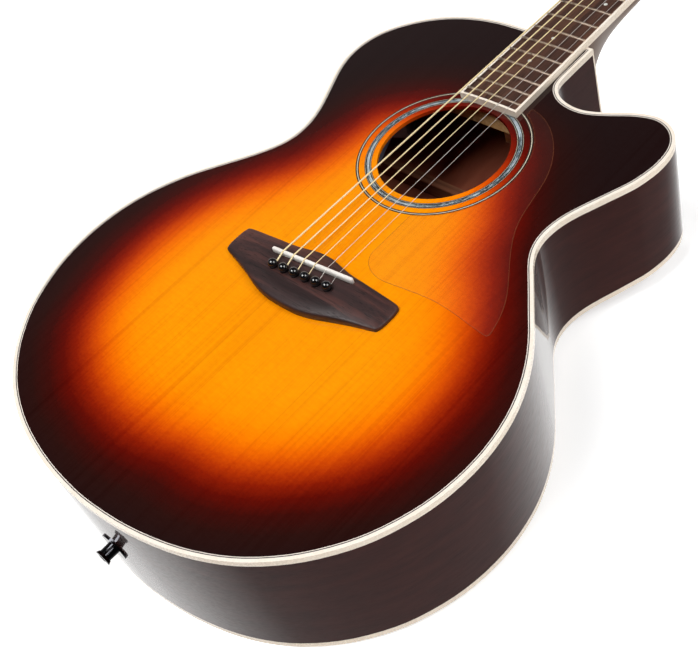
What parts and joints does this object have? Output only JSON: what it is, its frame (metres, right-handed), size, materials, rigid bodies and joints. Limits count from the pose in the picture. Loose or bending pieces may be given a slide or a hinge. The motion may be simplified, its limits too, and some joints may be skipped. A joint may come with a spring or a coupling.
{
  "type": "acoustic guitar",
  "caption": "Steel-string acoustic guitar with a rounded cutaway, sunburst top, geared tuners, side-mounted preamp and an end-pin jack.",
  "frame": {"origin": "centre of the bounding box bottom face, under the back", "axes": "+X toward the treble side, +Y toward the headstock, +Z out of the soundboard; the guitar lies on its back"},
  "size_m": [0.4078, 1.0768, 0.1292],
  "materials": {
    "sunburst_top": "gloss sunburst lacquer over spruce",
    "brown_gloss": "gloss dark brown lacquer",
    "raw_spruce": "bare softwood",
    "raw_mahogany": "bare hardwood",
    "rosewood": "oiled dark rosewood",
    "cream_binding": "gloss cream",
    "purfling": "black and white lines",
    "pearl": "iridescent shell",
    "clear_guard": "clear gloss film",
    "bone_white": "polished white",
    "black_gloss": "gloss black",
    "black_matte": "matte black",
    "bronze_string": "wound bronze",
    "steel_string": "plain steel",
    "nickel": "polished nickel",
    "chrome": "chrome",
    "dark_chrome": "dark chrome",
    "steel": "plain steel",
    "battery_can": "painted can"
  },
  "bodies": {
    "guitar": {"strings_wound": "bronze_string", "strings_plain": "steel_string", "soundboard": "sunburst_top", "rosette_pearl": "pearl", "rosette_lines": "purfling", "top_purfling": "purfling", "top_binding": "cream_binding", "sides": "brown_gloss", "back_plate": "brown_gloss", "back_binding": "cream_binding", "neck_block": "raw_mahogany", "tail_block": "raw_mahogany", "linings": "raw_spruce", "x_brace": "raw_spruce", "soundboard_braces": "raw_spruce", "back_braces": "raw_spruce", "pickguard": "clear_guard", "bridge": "rosewood", "saddle": "bone_white", "bridge_pins": "black_gloss", "fretboard": "rosewood", "frets": "nickel", "position_dots": "pearl", "fretboard_binding": "cream_binding", "nut": "bone_white", "neck": "brown_gloss", "headstock_veneer": "black_gloss", "truss_rod": "steel", "truss_rod_cover": "black_gloss", "tuner_housings": "chrome", "tuner_bushings": "chrome", "fixing_screws": "chrome", "heel_strap_button": "chrome", "endpin_jack": "dark_chrome", "jack_nut_and_washer": "dark_chrome", "preamp_bezel": "black_matte", "preamp_panel": "black_matte", "battery": "battery_can", "preamp_case": "black_gloss", "pickup_and_wiring": "black_matte"},
    "body_volume_knob": {"volume_knob": "black_matte"},
    "body_slider_bass": {"slider_bass": "black_matte"},
    "body_slider_middle": {"slider_middle": "black_matte"},
    "body_slider_treble": {"slider_treble": "black_matte"},
    "body_push_button": {"push_button": "black_matte"},
    "body_battery_door": {"battery_door": "black_matte"},
    "body_truss_rod_nut": {"truss_rod_nut": "steel"},
    "body_tuner_post_1": {"tuner_post_1": "chrome"},
    "body_tuner_post_2": {"tuner_post_2": "chrome"},
    "body_tuner_post_3": {"tuner_post_3": "chrome"},
    "body_tuner_post_4": {"tuner_post_4": "chrome"},
    "body_tuner_post_5": {"tuner_post_5": "chrome"},
    "body_tuner_post_6": {"tuner_post_6": "chrome"},
    "body_tuner_button_1": {"tuner_button_1": "chrome"},
    "body_tuner_button_2": {"tuner_button_2": "chrome"},
    "body_tuner_button_3": {"tuner_button_3": "chrome"},
    "body_tuner_button_4": {"tuner_button_4": "chrome"},
    "body_tuner_button_5": {"tuner_button_5": "chrome"},
    "body_tuner_button_6": {"tuner_button_6": "chrome"}
  },
  "joints": [
    {"name": "tuner_post_6_turn", "type": "hinge", "parent": "guitar", "child": "body_tuner_post_6", "pos_m": [-0.027, 0.399, 0.08332], "axis": [0, 0.2419, 0.9703], "continuous": true},
    {"name": "tuner_button_6_turn", "type": "hinge", "parent": "guitar", "child": "body_tuner_button_6", "pos_m": [-0.027, 0.40619, 0.08153], "axis": [1, 0, 0], "continuous": true},
    {"name": "tuner_post_5_turn", "type": "hinge", "parent": "guitar", "child": "body_tuner_post_5", "pos_m": [-0.029, 0.44073, 0.07292], "axis": [0, 0.2419, 0.9703], "continuous": true},
    {"name": "tuner_button_5_turn", "type": "hinge", "parent": "guitar", "child": "body_tuner_button_5", "pos_m": [-0.029, 0.44791, 0.07113], "axis": [1, 0, 0], "continuous": true},
    {"name": "tuner_post_4_turn", "type": "hinge", "parent": "guitar", "child": "body_tuner_post_4", "pos_m": [-0.031, 0.48245, 0.06251], "axis": [0, 0.2419, 0.9703], "continuous": true},
    {"name": "tuner_button_4_turn", "type": "hinge", "parent": "guitar", "child": "body_tuner_button_4", "pos_m": [-0.031, 0.48963, 0.06072], "axis": [1, 0, 0], "continuous": true},
    {"name": "tuner_post_3_turn", "type": "hinge", "parent": "guitar", "child": "body_tuner_post_3", "pos_m": [0.031, 0.48245, 0.06251], "axis": [0, 0.2419, 0.9703], "continuous": true},
    {"name": "tuner_button_3_turn", "type": "hinge", "parent": "guitar", "child": "body_tuner_button_3", "pos_m": [0.031, 0.48963, 0.06072], "axis": [1, 0, 0], "continuous": true},
    {"name": "tuner_post_2_turn", "type": "hinge", "parent": "guitar", "child": "body_tuner_post_2", "pos_m": [0.029, 0.44073, 0.07292], "axis": [0, 0.2419, 0.9703], "continuous": true},
    {"name": "tuner_button_2_turn", "type": "hinge", "parent": "guitar", "child": "body_tuner_button_2", "pos_m": [0.029, 0.44791, 0.07113], "axis": [1, 0, 0], "continuous": true},
    {"name": "tuner_post_1_turn", "type": "hinge", "parent": "guitar", "child": "body_tuner_post_1", "pos_m": [0.027, 0.399, 0.08332], "axis": [0, 0.2419, 0.9703], "continuous": true},
    {"name": "tuner_button_1_turn", "type": "hinge", "parent": "guitar", "child": "body_tuner_button_1", "pos_m": [0.027, 0.40619, 0.08153], "axis": [1, 0, 0], "continuous": true},
    {"name": "volume_turn", "type": "hinge", "parent": "guitar", "child": "body_volume_knob", "pos_m": [-0.13286, -0.15476, 0.0725], "axis": [-0.9167, -0.3995, 0], "range_deg": [-135, 135]},
    {"name": "bass_slide", "type": "slide", "parent": "guitar", "child": "body_slider_bass", "axis": [0, 0, 1], "range_m": [-0.0065, 0.0065]},
    {"name": "middle_slide", "type": "slide", "parent": "guitar", "child": "body_slider_middle", "axis": [0, 0, 1], "range_m": [-0.0065, 0.0065]},
    {"name": "treble_slide", "type": "slide", "parent": "guitar", "child": "body_slider_treble", "axis": [0, 0, 1], "range_m": [-0.0065, 0.0065]},
    {"name": "push_button_press", "type": "slide", "parent": "guitar", "child": "body_push_button", "axis": [0.9167, 0.3995, 0], "range_m": [0, 0.001], "stiffness_N_per_m": 300, "springref_m": -0.001},
    {"name": "battery_door_swing", "type": "hinge", "parent": "guitar", "child": "body_battery_door", "pos_m": [-0.15739, -0.10174, 0.068], "axis": [0, 0, -1], "range_deg": [0, 100]},
    {"name": "truss_nut_turn", "type": "hinge", "parent": "guitar", "child": "body_truss_rod_nut", "pos_m": [0, 0.36128, 0.1084], "axis": [0, 1, 0], "range_deg": [-180, 180]}
  ],
  "couplings": [
    {"joint": "tuner_post_6_turn", "follows": "tuner_button_6_turn", "ratio": 0.0625},
    {"joint": "tuner_post_5_turn", "follows": "tuner_button_5_turn", "ratio": 0.0625},
    {"joint": "tuner_post_4_turn", "follows": "tuner_button_4_turn", "ratio": 0.0625},
    {"joint": "tuner_post_3_turn", "follows": "tuner_button_3_turn", "ratio": 0.0625},
    {"joint": "tuner_post_2_turn", "follows": "tuner_button_2_turn", "ratio": 0.0625},
    {"joint": "tuner_post_1_turn", "follows": "tuner_button_1_turn", "ratio": 0.0625}
  ]
}
